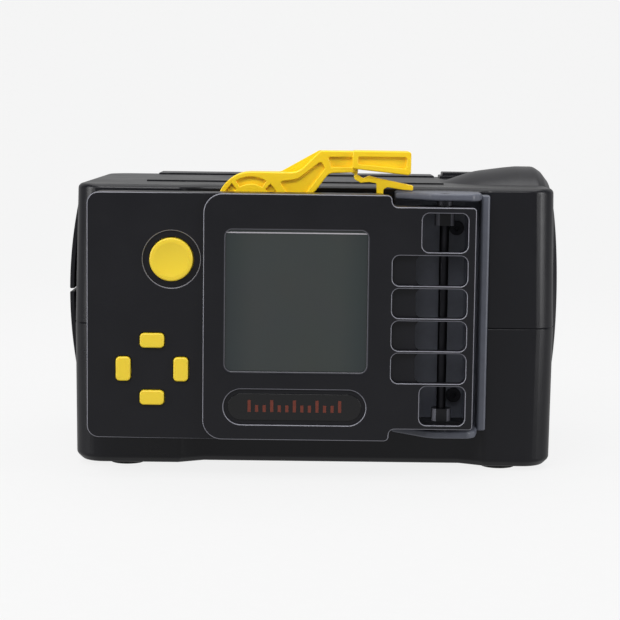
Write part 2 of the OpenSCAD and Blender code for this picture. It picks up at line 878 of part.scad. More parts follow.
module head_front_cover() {
    color(black) difference() {
        union() {
            depth(plate_y, plate_in_y) head_shape(0);
            depth(head_front_y, plate_in_y) display_shape();
            depth(plate_in_y - eps, head_join_y) difference() {
                head_shape(0);
                head_shape(head_wall);
            }
            depth(plate_in_y - eps, head_join_y) intersection() {
                translate([box_x1 - 1.6, 0]) square([1.6, 100]);
                head_shape(1);
            }
            depth(head_join_y - eps, head_back_y) difference() {
                head_shape(0);
                head_shape(1.8);
                translate([-100, 0]) square([100 + box_x1 + 0.4, 120]);
            }
            for (z = [[yoke_z0, yoke_z0 + 6], [yoke_z1 - 6, yoke_z1]])
                translate([hinge_x, hinge_y, z[0]]) cylinder(r = 3.2, h = 6);
            for (p = screw_pts) rod_y(p, 2.1, plate_in_y - eps, head_join_y);
        }
        key_cuts();
        depth(head_front_y - 1, plate_in_y + 1) window_shape(0);
        depth(lens_y, plate_in_y + 1) window_shape(lens_lap + 0.05);
        window_bevel();
        depth(head_front_y - 1, head_front_y + 0.9) label_shape(0);
        for (v = vents) depth(head_front_y - 1, head_front_y + 2.2)
            rrect(v[0], vent_right, v[1], v[2], vent_r);
        for (v = vents) depth(head_front_y - 1, plate_in_y + 1)
            rrect(max(v[0], box_x1), vent_right, v[1], v[2], vent_r);
        translate([hinge_x, hinge_y, 0]) cylinder(r = hinge_pin_r + run, h = 100);
        for (p = screw_pts) rod_y(p, 0.95, plate_in_y + 1, head_back_y + 1);
    }
}

module key_cuts() {
    depth(head_front_y - 1, plate_in_y + 1) key_holes();
    depth(plate_y - 1, plate_y + 0.6) translate([power_x, power_z]) circle(power_r + 2.2);
}

// Four slopes that lead in to the display window
module window_bevel() {
    w = window_w / 2;
    run_l = 2 * (w + bevel);
    for (s = [-1, 1]) {
        translate([window_x + s * w, head_front_y, window_z - w - bevel])
            linear_extrude(run_l) polygon([[-s, -1], [s * bevel, -1], [s * bevel, 0],
                [0, bevel_t], [-s, bevel_t]]);
        translate([window_x - w - bevel, head_front_y, window_z + s * w])
            rotate([90, 0, 90]) linear_extrude(run_l) polygon([[-1, -s], [-1, s * bevel],
                [0, s * bevel], [bevel_t, 0], [bevel_t, -s]]);
    }
}

module head_rear_cover() {
    color(black) difference() {
        union() {
            depth(head_back_y - head_wall, head_back_y) box_shape(0);
            depth(head_join_y, head_back_y) difference() {
                box_shape(0);
                box_shape(head_wall);
            }
            for (p = screw_pts) rod_y(p, 2.6, head_join_y, head_back_y - 1);
        }
        for (p = screw_pts) rod_y(p, 1, head_join_y - 1, head_back_y + 1);
        for (p = screw_pts) rod_y(p, 2.1, head_back_y - 1.5, head_back_y + 1);
        box(-58, -48, head_join_y + 0.2, head_join_y + 3.6, head_z0 - 1, head_z0 + 6.8);
        for (i = [0 : 8]) box(-56 + 4 * i, -54.6 + 4 * i, head_back_y - 0.7, head_back_y + 1, 34, 66);
    }
}

module head_gasket() {
    y = head_join_y;
    color(dark) depth(y - 1.6, y - 0.8) intersection() {
        box_shape(head_wall);
        difference() {
            union() {
                difference() {
                    box_shape(head_wall);
                    box_shape(head_wall + 0.7);
                }
                for (p = screw_pts) translate(p) circle(3);
            }
            for (p = screw_pts) translate(p) circle(2.12);
        }
    }
}

module head_screws() {
    color(steel) for (p = screw_pts) difference() {
        union() {
            rod_y(p, 1.9, head_back_y - 1.5, head_back_y - 0.2);
            rod_y(p, 0.9, head_join_y - 4, head_back_y - 1.5 + eps);
        }
        rod_y(p, 0.7, head_back_y - 0.9, head_back_y + 1, $fn = 6);
    }
}

module display_lens() {
    color([0.3, 0.34, 0.33]) depth(lens_y, lens_y + lens_t) window_shape(lens_lap);
}

module display_panel() {
    w = window_w / 2 + 0.6;
    y = plate_in_y;
    color([0.35, 0.4, 0.36]) box(window_x - w, window_x + w, y + 0.3, y + 2.1,
        window_z - w, window_z + w);
}

module display_frame() {
    w = window_w / 2 + 2.4;
    y = plate_in_y;
    color([0.8, 0.8, 0.8]) difference() {
        box(window_x - w, window_x + w, y + 0.1, y + 3.6, window_z - w, window_z + w);
        box(window_x - w + 1.6, window_x + w - 1.6, y - 1, y + 2.3,
            window_z - w + 1.6, window_z + w - 1.6);
    }
}

module head_board() {
    color(green) difference() {
        box(-65, 28.8, board_y[0], board_y[1], 19, 84);
        for (z = [22, 81]) rod_y([-62, z], 1.2, board_y[0] - 1, board_y[1] + 1);
    }
}

function switch_pts() = [[power_x, power_z], [pad_x, pad_z + key_ring],
    [pad_x, pad_z - key_ring], [pad_x - key_ring, pad_z], [pad_x + key_ring, pad_z]];

module tact_switches() {
    y = board_y[0];
    color(steel) for (p = switch_pts()) {
        box(p[0] - 2.2, p[0] + 2.2, y - 0.9, y, p[1] - 2.2, p[1] + 2.2);
        rod_y(p, 1, y - 1.3, y - 0.9 + eps);
    }
}

module pouch_cell() {
    y = head_back_y - head_wall;
    color(steel) box(-44, 8, y - 2.9, y, 26, 76);
}

module charge_socket() {
    y = head_join_y + 0.3;
    color(steel) difference() {
        box(-57.4, -48.6, y, y + 3.1, head_z0 + 0.4, head_z0 + 6.4);
        box(-56.8, -49.2, y + 0.6, y + 2.5, head_z0, head_z0 + 5.4);
    }
}

module label_plate() {
    color(dark) depth(head_front_y + 0.5, head_front_y + 0.9) label_shape(1.4);
}

module label_marks() {
    color([0.5, 0.16, 0.12]) for (i = [-6 : 6])
        box(label_x + 2.4 * i - 0.5, label_x + 2.4 * i + 0.5, head_front_y + 0.35,
            head_front_y + 0.5, label_z - 1.6, label_z + (i % 3 == 0 ? 2.2 : 0.6));
}

// ---- buttons ----

module power_button() {
    color(yellow) translate([power_x, 0, power_z]) {
        difference() {
            rod_y([0, 0], power_r, plate_y - 1.6, cap_in_y - 0.6);
            translate([0, plate_y - 26.2, 0]) sphere(r = 25.2, $fn = 96);
        }
        rod_y([0, 0], power_r + 1, plate_in_y + 0.3, cap_in_y - 0.4);
        rod_y([0, 0], 1.6, cap_in_y - 0.5, board_y[0] - 1.3 - press - 0.15);
    }
}

// A key cap with a retaining flange and a stem
module key_cap(x, z, across) {
    color(yellow) translate([x, 0, z]) {
        depth(plate_y - 1.3, plate_in_y + 0.4) key_shape(across, 0);
        depth(plate_in_y + 0.3, cap_in_y - 0.4) key_shape(across, 0.8);
        rod_y([0, 0], 1.3, cap_in_y - 0.5, board_y[0] - 1.3 - press - 0.15);
    }
}

module key_up() {
    key_cap(pad_x, pad_z + key_ring, true);
}

module key_down() {
    key_cap(pad_x, pad_z - key_ring, true);
}

module key_left() {
    key_cap(pad_x - key_ring, pad_z, false);
}

module key_right() {
    key_cap(pad_x + key_ring, pad_z, false);
}

upper_shell();
lower_shell();
case_screws();
rubber_feet();
top_plate();
antenna_cover();
antenna_strip();
sensing_tunnel();
entry_collar();
exit_frame();
exit_door_upper();
exit_door_lower();
exit_door_pins();
gate_boards();
gate_emitters();
gate_receivers();
main_board();
board_parts();
board_screws();
battery_tray();
battery_cells();
battery_contacts();
battery_door();
battery_door_pin();
power_switch_body();
power_switch_knob();
tripod_insert();
hinge_bracket();
bracket_screws();
hinge_pin();
hinge_washers();
latch_keeper();
hanger_arm();
arm_pivot_screw();
latch_tongue();
head_front_cover();
head_rear_cover();
head_gasket();
head_screws();
display_lens();
display_panel();
display_frame();
head_board();
tact_switches();
pouch_cell();
charge_socket();
label_plate();
label_marks();
power_button();
key_up();
key_down();
key_left();
key_right();
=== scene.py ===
# Looks for a portable shooting chronograph with a flip-out display head.
# Lengths are in millimetres unless a note says otherwise; the mesh helpers turn them into Blender's metres.
import json
import math

import bmesh
import bpy
from mathutils import Matrix, Vector


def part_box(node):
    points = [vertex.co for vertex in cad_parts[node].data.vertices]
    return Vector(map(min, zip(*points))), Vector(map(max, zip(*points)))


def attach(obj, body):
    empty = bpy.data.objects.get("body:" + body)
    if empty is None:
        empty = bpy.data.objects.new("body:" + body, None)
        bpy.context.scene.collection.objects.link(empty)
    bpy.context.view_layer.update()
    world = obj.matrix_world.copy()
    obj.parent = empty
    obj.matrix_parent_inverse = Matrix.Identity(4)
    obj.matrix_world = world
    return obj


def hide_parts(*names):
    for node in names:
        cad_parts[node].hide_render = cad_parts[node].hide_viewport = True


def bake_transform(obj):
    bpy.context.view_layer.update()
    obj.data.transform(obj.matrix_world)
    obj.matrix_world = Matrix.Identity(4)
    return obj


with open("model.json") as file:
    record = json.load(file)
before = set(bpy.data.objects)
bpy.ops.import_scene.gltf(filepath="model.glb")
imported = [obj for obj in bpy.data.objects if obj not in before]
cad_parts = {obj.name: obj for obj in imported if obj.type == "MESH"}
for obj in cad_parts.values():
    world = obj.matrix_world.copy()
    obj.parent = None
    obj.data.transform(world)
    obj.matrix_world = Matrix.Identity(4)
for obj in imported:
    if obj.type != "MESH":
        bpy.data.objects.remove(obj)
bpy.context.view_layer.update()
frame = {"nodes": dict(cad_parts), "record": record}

slotOf = {part["node"]: part["material_slot"] for part in frame["record"]["subparts"]}
bodyOf = {node: body for body, nodes in frame["record"]["behaviour"]["bodies"].items()
          for node in nodes}
print("frame loaded:", len(slotOf), "nodes")


# Outlines, in millimetres

# Low and high corner of a CAD node
def boxOf(node):
    low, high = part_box(node)
    return low * 1000, high * 1000


# Closed outline from corners of (u, v, radius), each corner turned into an arc
def filleted(corners, steps=6):
    points = []
    for i, (u, v, radius) in enumerate(corners):
        here = Vector((u, v))
        toPrev = (Vector(corners[i - 1][:2]) - here).normalized()
        toNext = (Vector(corners[(i + 1) % len(corners)][:2]) - here).normalized()
        turn = toPrev.angle(toNext)
        if radius <= 0 or turn > math.radians(179.5):
            points.append((u, v))
            continue
        centre = here + (toPrev + toNext).normalized() * (radius / math.sin(turn / 2))
        first = here + toPrev * (radius / math.tan(turn / 2)) - centre
        last = here + toNext * (radius / math.tan(turn / 2)) - centre
        start = math.atan2(first.y, first.x)
        sweep = math.atan2(last.y, last.x) - start
        sweep = (sweep + math.pi) % (2 * math.pi) - math.pi
        for k in range(steps + 1):
            angle = start + sweep * k / steps
            points.append((centre.x + radius * math.cos(angle), centre.y + radius * math.sin(angle)))
    return points


def roundRect(u0, u1, v0, v1, radius, steps=6):
    return filleted([(u0, v0, radius), (u1, v0, radius), (u1, v1, radius), (u0, v1, radius)], steps)


# The same, given by its centre and half sizes
def roundRectAt(centre, halfU, halfV, radius, steps=6):
    u, v = centre
    return roundRect(u - halfU, u + halfU, v - halfV, v + halfV, radius, steps)


def circle(u, v, radius, steps=64):
    turn = 2 * math.pi / steps
    return [(u + radius * math.cos(k * turn), v + radius * math.sin(k * turn)) for k in range(steps)]


# Part of a ring between two angles in degrees
def ringSector(u, v, inner, outer, start, end, steps=8):
    angles = [math.radians(start + (end - start) * k / steps) for k in range(steps + 1)]
    outside = [(u + outer * math.cos(a), v + outer * math.sin(a)) for a in angles]
    inside = [(u + inner * math.cos(a), v + inner * math.sin(a)) for a in reversed(angles)]
    return outside + inside


# Outline moved outwards by a distance, or inwards if it is negative
def grow(points, distance):
    count = len(points)
    area = sum(points[i - 1][0] * points[i][1] - points[i][0] * points[i - 1][1] for i in range(count))
    side = 1 if area > 0 else -1
    moved = []
    for i in range(count):
        before = Vector(points[i]) - Vector(points[i - 1])
        after = Vector(points[(i + 1) % count]) - Vector(points[i])
        before = Vector((before.y, -before.x)).normalized()
        after = Vector((after.y, -after.x)).normalized()
        middle = (before + after).normalized()
        reach = side * distance / max(middle.dot(after), 0.3)
        moved.append((points[i][0] + middle.x * reach, points[i][1] + middle.y * reach))
    return moved


# Meshes

# Point of an outline at a depth along one axis, in metres
def spot(axis, u, v, depth):
    order = {"x": (depth, u, v), "y": (u, depth, v), "z": (u, v, depth)}
    return Vector(order[axis]) * 0.001


def newObject(name, bm):
    bmesh.ops.recalc_face_normals(bm, faces=bm.faces)
    mesh = bpy.data.meshes.new(name)
    bm.to_mesh(mesh)
    bm.free()
    obj = bpy.data.objects.new(name, mesh)
    bpy.context.scene.collection.objects.link(obj)
    return obj


# Closed skin over rings of points, each ring an outline at its own depth
def addLoft(bm, axis, rings):
    loops = [[bm.verts.new(spot(axis, u, v, depth)) for u, v in outline] for outline, depth in rings]
    for low, high in zip(loops, loops[1:]):
        for i in range(len(low)):
            bm.faces.new((low[i - 1], low[i], high[i], high[i - 1]))
    bm.faces.new(loops[0])
    bm.faces.new(loops[-1])


# Rings of a slab whose two ends have rounded edges
def slabRings(outline, low, high, lowRadius, highRadius, steps=4):
    rings = []
    for end, radius, inward in ((low, lowRadius, 1), (high, highRadius, -1)):
        part = [(outline, end)]
        if radius > 0:
            part = []
            for k in range(steps + 1):
                angle = math.pi / 2 * k / steps
                part.append((grow(outline, radius * (math.sin(angle) - 1)),
                             end + inward * radius * (1 - math.cos(angle))))
        rings += part if inward > 0 else part[::-1]
    return rings


def slab(name, axis, outline, low, high, lowRadius=0, highRadius=0):
    bm = bmesh.new()
    addLoft(bm, axis, slabRings(outline, low, high, lowRadius, highRadius))
    return newObject(name, bm)


# Straight cutters along Y
def drills(name, holes):
    bm = bmesh.new()
    for outline, low, high in holes:
        addLoft(bm, "y", [(outline, low), (outline, high)])
    return newObject(name, bm)


# Turned shape: an outline of (along, radius) spun about an axis through a point
def turned(name, axis, centre, outline, steps=128):
    bm = bmesh.new()
    loops = []
    for k in range(steps):
        angle = 2 * math.pi * k / steps
        across, up = math.cos(angle), math.sin(angle)
        loops.append([bm.verts.new(spot(axis, centre[0] + r * across, centre[1] + r * up, along))
                      for along, r in outline])
    for k in range(steps):
        for i in range(len(outline)):
            if max(outline[i - 1][1], outline[i][1]) > 1e-4:
                bm.faces.new((loops[k - 1][i - 1], loops[k - 1][i], loops[k][i], loops[k][i - 1]))
    bmesh.ops.remove_doubles(bm, verts=bm.verts, dist=1e-7)
    return newObject(name, bm)


# Copy of a CAD node's mesh, as a piece of its own
def copyOf(node, name):
    bm = bmesh.new()
    bm.from_mesh(frame["nodes"][node].data)
    bmesh.ops.remove_doubles(bm, verts=bm.verts, dist=1e-6)
    mesh = bpy.data.meshes.new(name)
    mesh.from_pydata([v.co.copy() for v in bm.verts], [],
                     [[v.index for v in face.verts] for face in bm.faces])
    bm.free()
    obj = bpy.data.objects.new(name, mesh)
    bpy.context.scene.collection.objects.link(obj)
    return obj


def applyModifiers(obj):
    bpy.context.view_layer.update()
    mesh = bpy.data.meshes.new_from_object(obj.evaluated_get(bpy.context.evaluated_depsgraph_get()))
    obj.modifiers.clear()
    obj.data = mesh


# Cuts, joins or intersects a piece with tools, which are used up
def combine(obj, operation, *tools):
    for tool in tools:
        step = obj.modifiers.new("step", "BOOLEAN")
        step.operation = operation
        step.solver = "EXACT"
        step.object = tool
        applyModifiers(obj)
        bpy.data.objects.remove(tool)
    return obj


# Rounds the sharp outer edges whose two ends lie in one of the planes, given as (axis, place);
# without planes it rounds them all. Edges inside the box spare, in X and Z, stay as they are.
def roundEdges(obj, width, planes=None, segments=3, limit=40, spare=None):
    bm = bmesh.new()
    bm.from_mesh(obj.data)
    bmesh.ops.dissolve_limit(bm, angle_limit=math.radians(0.6), verts=bm.verts, edges=bm.edges)
    chosen = []
    for edge in bm.edges:
        if len(edge.link_faces) != 2 or not edge.is_convex or edge.calc_face_angle() < math.radians(limit):
            continue
        if spare and all(spare[0] < v.co.x * 1000 < spare[1] and spare[2] < v.co.z * 1000 < spare[3]
                         for v in edge.verts):
            continue
        if planes is None or any(all(abs(v.co["xyz".index(axis)] * 1000 - at) < 0.01 for v in edge.verts)
                                 for axis, at in planes):
            chosen.append(edge)
    bmesh.ops.bevel(bm, geom=chosen, offset=width * 0.001, offset_type="OFFSET", segments=segments,
                    profile=0.5, affect="EDGES", clamp_overlap=False)
    bm.to_mesh(obj.data)
    bm.free()
    return obj


# Sets a finished piece in the object: shading, body, CAD nodes it stands for, finish
def place(obj, node, sharp=34):
    obj.data.shade_smooth()
    obj.data.set_sharp_from_angle(angle=math.radians(sharp))
    flat = obj.modifiers.new("flatFaces", "WEIGHTED_NORMAL")
    flat.keep_sharp = True
    flat.weight = 100
    obj.data.materials.clear()
    obj.data.materials.append(finishes[slotOf[node]])
    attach(obj, bodyOf[node])
    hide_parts(node)


# Finishes

# sRGB hex to the linear colour that shaders take
def hexColour(code):
    channels = [int(code[i:i + 2], 16) / 255 for i in (1, 3, 5)]
    return tuple(c / 12.92 if c <= 0.04045 else ((c + 0.055) / 1.055) ** 2.4 for c in channels) + (1,)


# Adds one node: its settings, its inputs' values, and links into its inputs
def addNode(tree, kind, settings=None, values=None, links=None):
    node = tree.nodes.new(kind)
    for key, value in (settings or {}).items():
        setattr(node, key, value)
    for key, value in (values or {}).items():
        node.inputs[key].default_value = value
    for key, socket in (links or {}).items():
        tree.links.new(socket, node.inputs[key])
    return node


# Mixes two colours by a factor; a colour is a hex code or the output of another node
def mixColours(tree, factor, first, second, blend="MIX"):
    mix = addNode(tree, "ShaderNodeMix", {"data_type": "RGBA", "blend_type": blend})
    for index, value in ((0, factor), (6, first), (7, second)):
        if isinstance(value, bpy.types.NodeSocket):
            tree.links.new(value, mix.inputs[index])
        else:
            mix.inputs[index].default_value = hexColour(value) if isinstance(value, str) else value
    return mix.outputs[2]


# A new material with its shader, and the object's own coordinates in metres
def newFinish(name, shaderValues):
    material = bpy.data.materials.new(name)
    material.use_nodes = True
    tree = material.node_tree
    tree.nodes.clear()
    shader = addNode(tree, "ShaderNodeBsdfPrincipled", values=shaderValues)
    output = addNode(tree, "ShaderNodeOutputMaterial")
    tree.links.new(shader.outputs["BSDF"], output.inputs["Surface"])
    place3d = addNode(tree, "ShaderNodeTexCoord").outputs["Object"]
    return material, tree, shader, place3d


# Painted highlight: lightens the rounded edges between the front and the sides, where the normal leans
# between the two, in place of the light these edges would catch
def addPaintedEdgeHighlight(tree, colour, edge):
    normal = addNode(tree, "ShaderNodeTexCoord").outputs["Normal"]
    axes = addNode(tree, "ShaderNodeSeparateXYZ", links={0: normal})
    square = addNode(tree, "ShaderNodeMath", {"operation": "POWER"}, {1: 2}, {0: axes.outputs["Y"]})
    rest = addNode(tree, "ShaderNodeMath", {"operation": "SUBTRACT"}, {0: 1}, {1: square.outputs[0]})
    lean = addNode(tree, "ShaderNodeMath", {"operation": "MULTIPLY"},
                   links={0: square.outputs[0], 1: rest.outputs[0]})
    highlightAmount = addNode(tree, "ShaderNodeMapRange", {"interpolation_type": "SMOOTHSTEP"},
                     {"From Min": 0.05, "From Max": 0.2}, {"Value": lean.outputs[0]})
    return mixColours(tree, highlightAmount.outputs["Result"], colour, edge)


# One noise tints a surface and varies its gloss, and a finer one roughens it.
# grain is the size of the texture's grains and depth its height, both in mm.
# cloud is the size of the tint's patches in mm, and edge the colour of a painted highlight on the rounded
# edges.
def mouldedFinish(name, tints, gloss, grain, depth, shaderValues, cloud=14, edge=None):
    material, tree, shader, place3d = newFinish(name, shaderValues)
    clouds = addNode(tree, "ShaderNodeTexNoise",
                     values={"Scale": 1000 / cloud, "Detail": 3, "Roughness": 0.55},
                     links={"Vector": place3d})
    colour = mixColours(tree, clouds.outputs["Fac"], *tints)
    if edge:
        # painted highlight on the rounded edges, set by their normal and not by the lamps
        colour = addPaintedEdgeHighlight(tree, colour, edge)
    tree.links.new(colour, shader.inputs["Base Color"])
    shine = addNode(tree, "ShaderNodeMapRange",
                    values={"From Min": 0.3, "From Max": 0.7, "To Min": gloss[0], "To Max": gloss[1]},
                    links={"Value": clouds.outputs["Fac"]})
    tree.links.new(shine.outputs["Result"], shader.inputs["Roughness"])
    grains = addNode(tree, "ShaderNodeTexNoise",
                     values={"Scale": 1000 / grain, "Detail": 2, "Roughness": 0.6}, links={"Vector": place3d})
    bump = addNode(tree, "ShaderNodeBump", values={"Strength": 1, "Distance": depth * 0.001},
                   links={"Height": grains.outputs["Fac"]})
    tree.links.new(bump.outputs["Normal"], shader.inputs["Normal"])
    return material


# Fine lines left by a tool, drawn coarser than the real 0.05 mm so that they show
def metalFinish(name, tints, gloss, spacing, stretch, shaderValues):
    material, tree, shader, place3d = newFinish(name, {"Metallic": 1, **shaderValues})
    lines = addNode(tree, "ShaderNodeMapping", links={"Vector": place3d})
    lines.inputs["Scale"].default_value = stretch
    noise = addNode(tree, "ShaderNodeTexNoise", values={"Scale": 1000 / spacing, "Detail": 3},
                    links={"Vector": lines.outputs["Vector"]})
    tree.links.new(mixColours(tree, noise.outputs["Fac"], *tints), shader.inputs["Base Color"])
    shine = addNode(tree, "ShaderNodeMapRange", values={"To Min": gloss[0], "To Max": gloss[1]},
                    links={"Value": noise.outputs["Fac"]})
    tree.links.new(shine.outputs["Result"], shader.inputs["Roughness"])
    bump = addNode(tree, "ShaderNodeBump", values={"Strength": 0.4, "Distance": 0.00003},
                   links={"Height": noise.outputs["Fac"]})
    tree.links.new(bump.outputs["Normal"], shader.inputs["Normal"])
    return material


# Glass-fibre board under green lacquer: copper tracks raise and lighten it in a 2.5 mm grid
def boardFinish():
    material, tree, shader, place3d = newFinish("solderMaskedBoard", {"IOR": 1.5, "Coat Weight": 0.4})
    tracks = addNode(tree, "ShaderNodeTexVoronoi", {"distance": "CHEBYCHEV", "feature": "F1"},
                     {"Scale": 400, "Randomness": 0.55}, {"Vector": place3d})
    edges = addNode(tree, "ShaderNodeMapRange", values={"From Min": 0.42, "From Max": 0.46},
                    links={"Value": tracks.outputs["Distance"]})
    colour = mixColours(tree, edges.outputs["Result"], "#0c4a25", "#1d7040")
    tree.links.new(colour, shader.inputs["Base Color"])
    shine = addNode(tree, "ShaderNodeMapRange", values={"To Min": 0.3, "To Max": 0.42},
                    links={"Value": edges.outputs["Result"]})
    tree.links.new(shine.outputs["Result"], shader.inputs["Roughness"])
    bump = addNode(tree, "ShaderNodeBump", values={"Strength": 0.5, "Distance": 0.00004},
                   links={"Height": edges.outputs["Result"]})
    tree.links.new(bump.outputs["Normal"], shader.inputs["Normal"])
    return material


displayLook = {
    "face": "#323736",       # middle of the idle panel
    "sides": "#272f30",      # painted reflection of the glass edges: bluer and darker towards its left and right
    "mask": "#1c201f",       # printed border behind the lens
    "line": "#b4b0b6",       # light caught by the top edge of the panel's own glass
    "lineHeight": 0.965,     # from the middle, as a share of half the panel
    "lineHalfWidth": 0.008,
    "maskWidth": 0.2,        # mm
    "blotches": 0.15,        # strength of the unevenness
}
lensLap = 1.1                # how far the lens reaches behind the cover


# Idle liquid-crystal panel behind a flat acrylic lens: grey-green, with a painted reflection that makes its
# sides bluer and darker, and a lit top edge
def displayFinish():
    look = displayLook
    material, tree, shader, place3d = newFinish(
        "acrylicLensOverLcd", {"IOR": 1.49, "Coat Weight": 0.3, "Coat Roughness": 0.06})
    low, high = boxOf("display_lens")
    half = (high.x - low.x) / 2 - lensLap - look["maskWidth"]
    centred = addNode(tree, "ShaderNodeVectorMath", {"operation": "SUBTRACT"}, {1: (low + high) / 2 * 0.001},
                      {0: place3d})
    scaled = addNode(tree, "ShaderNodeVectorMath", {"operation": "SCALE"}, {"Scale": 1000 / half},
                     {0: centred.outputs["Vector"]}).outputs["Vector"]
    distance = addNode(tree, "ShaderNodeVectorMath", {"operation": "ABSOLUTE"}, links={0: scaled})
    away = addNode(tree, "ShaderNodeSeparateXYZ", links={0: distance.outputs["Vector"]}).outputs
    height = addNode(tree, "ShaderNodeSeparateXYZ", links={0: scaled}).outputs["Z"]
    furthest = addNode(tree, "ShaderNodeMath", {"operation": "MAXIMUM"}, links={0: away["X"], 1: away["Z"]})
    side = addNode(tree, "ShaderNodeMapRange", {"interpolation_type": "SMOOTHSTEP"},
                   {"From Min": 0.55, "From Max": 1.0}, {"Value": away["X"]})
    onMask = addNode(tree, "ShaderNodeMath", {"operation": "GREATER_THAN"}, {1: 1.0},
                     {0: furthest.outputs[0]})
    onLine = addNode(tree, "ShaderNodeMath", {"operation": "COMPARE"},
                     {1: look["lineHeight"], 2: look["lineHalfWidth"]}, {0: height})
    blotch = addNode(tree, "ShaderNodeTexNoise", values={"Scale": 60, "Detail": 2}, links={"Vector": place3d})
    # painted reflection: bluer and darker towards the panel's left and right
    colour = mixColours(tree, side.outputs["Result"], look["face"], look["sides"])
    colour = mixColours(tree, look["blotches"], colour, blotch.outputs["Color"], "MULTIPLY")
    colour = mixColours(tree, onLine.outputs[0], colour, look["line"])
    colour = mixColours(tree, onMask.outputs[0], colour, look["mask"])
    tree.links.new(colour, shader.inputs["Base Color"])
    smudge = addNode(tree, "ShaderNodeMapRange", values={"To Min": 0.1, "To Max": 0.2},
                     links={"Value": blotch.outputs["Fac"]})
    tree.links.new(smudge.outputs["Result"], shader.inputs["Roughness"])
    return material


finishes = {
    # ABS from a polished mould: near-black with a soft satin sheen
    "housing_plastic": mouldedFinish("satinMouldedAbs", ("#0f0f14", "#141419"), (0.27, 0.35), 0.35, 0.005,
                                     {"IOR": 1.46, "Specular IOR Level": 0.42}),
    # ABS as it leaves a plain mould, a little greyer and flatter
    "tunnel_plastic": mouldedFinish("plainMouldedAbs", ("#1a1a1d", "#212124"), (0.5, 0.6), 0.5, 0.01,
                                    {"IOR": 1.5}),
    # ABS from a spark-eroded mould: matt, with grains of about 0.3 mm that sparkle in raking light, and a
    # painted highlight on its rounded edges
    "head_plastic": mouldedFinish("sparkErodedAbs", ("#0e0e13", "#141419"), (0.3, 0.38), 0.42, 0.03,
                                  {"IOR": 1.46, "Specular IOR Level": 0.42}, edge="#85858e"),
    # Glass-filled nylon: dark grey, with fibres that show as a fine mottle
    "bracket_plastic": mouldedFinish("glassFilledNylon", ("#555862", "#636671"), (0.34, 0.46), 0.6, 0.012,
                                     {"IOR": 1.53}, cloud=2.5),
    # Acetal: waxy, strong yellow, with light passing a little way into its edges
    "yellow_plastic": mouldedFinish("yellowAcetal", ("#ffd012", "#ffd922"), (0.3, 0.4), 0.8, 0.008,
                                    {"IOR": 1.48, "Subsurface Weight": 0.12,
                                     "Subsurface Radius": (1, 0.6, 0.1), "Subsurface Scale": 0.0008}),
    # ABS pressed caps: flatter, slightly greener yellow with a fine matt skin
    "button_yellow": mouldedFinish("yellowAbsCaps", ("#eacb30", "#f0d138"), (0.34, 0.42), 0.4, 0.008,
                                   {"IOR": 1.5, "Subsurface Weight": 0.1, "Subsurface Radius": (1, 0.6, 0.1),
                                    "Subsurface Scale": 0.0008}),
    # Soft rubber: black, dry and slightly dusty
    "rubber": mouldedFinish("footRubber", ("#151515", "#242423"), (0.75, 0.9), 0.5, 0.03, {"IOR": 1.52},
                            cloud=3),
    # Zinc-plated steel: cool grey with faint drawn lines
    "steel": metalFinish("zincPlatedSteel", ("#a9abb0", "#c4c6cb"), (0.28, 0.42), 0.3, (1, 1, 0.1), {}),
    # Blackened steel: oxide skin, almost as dark as the plastic, with a dull metal sheen
    "black_steel": metalFinish("blackOxideSteel", ("#2a2a2d", "#36363a"), (0.4, 0.52), 0.3, (1, 1, 0.1), {}),
    # Turned brass: warm, with rings from the tool
    "brass": metalFinish("turnedBrass", ("#b8913f", "#d3ad5c"), (0.22, 0.36), 0.3, (0.2, 0.2, 1), {}),
    "circuit_board": boardFinish(),
    # Moulded epoxy of chips: black, matt, with a sandy grain
    "chip_black": mouldedFinish("chipEpoxy", ("#161617", "#232325"), (0.55, 0.7), 0.25, 0.02, {"IOR": 1.55},
                                cloud=1.5),
    # Clear cast epoxy of the emitters, with a violet tint
    "led_clear": mouldedFinish("clearCastEpoxy", ("#a89cc4", "#bcb2d4"), (0.08, 0.14), 1.5, 0.004,
                               {"IOR": 1.54, "Coat Weight": 0.5}, cloud=2),
    # Daylight-blocking epoxy of the receivers
    "led_dark": mouldedFinish("darkCastEpoxy", ("#0d0b10", "#191520"), (0.08, 0.14), 1.5, 0.004,
                              {"IOR": 1.54, "Coat Weight": 0.5}, cloud=2),
    # Heat-shrunk sleeve: glossy blue with slight creases along the cell
    "cell_wrap": mouldedFinish("shrinkSleeve", ("#16264a", "#1d3160"), (0.2, 0.3), 3, 0.03, {"IOR": 1.54},
                               cloud=8),
    # Laminated aluminium pouch: silver with soft dents
    "cell_foil": mouldedFinish("pouchFoil", ("#a4a6a9", "#bfc1c4"), (0.3, 0.42), 4, 0.08, {"Metallic": 1},
                               cloud=6),
    "display_glass": displayFinish(),
    # White polycarbonate light guide, moulded smooth
    "frame_white": mouldedFinish("whitePolycarbonate", ("#cfcfcc", "#d9d9d6"), (0.35, 0.45), 0.6, 0.006,
                                 {"IOR": 1.58}),
    # Black gloss inlay of the label, smoother than the plastic round it
    "label_black": mouldedFinish("glossBlackInlay", ("#0b0b0c", "#111113"), (0.16, 0.24), 2, 0.006,
                                 {"IOR": 1.5}),
    # Screen-printed dull red ink, slightly uneven
    "label_red": mouldedFinish("printedRedInk", ("#5c2417", "#6e2d1c"), (0.5, 0.62), 0.3, 0.01, {"IOR": 1.5},
                               cloud=1.2),
}
print("finishes made:", len(finishes))

for nodeName, nodeObject in frame["nodes"].items():
    nodeObject.data.materials.clear()
    nodeObject.data.materials.append(finishes[slotOf[nodeName]])


# Housing

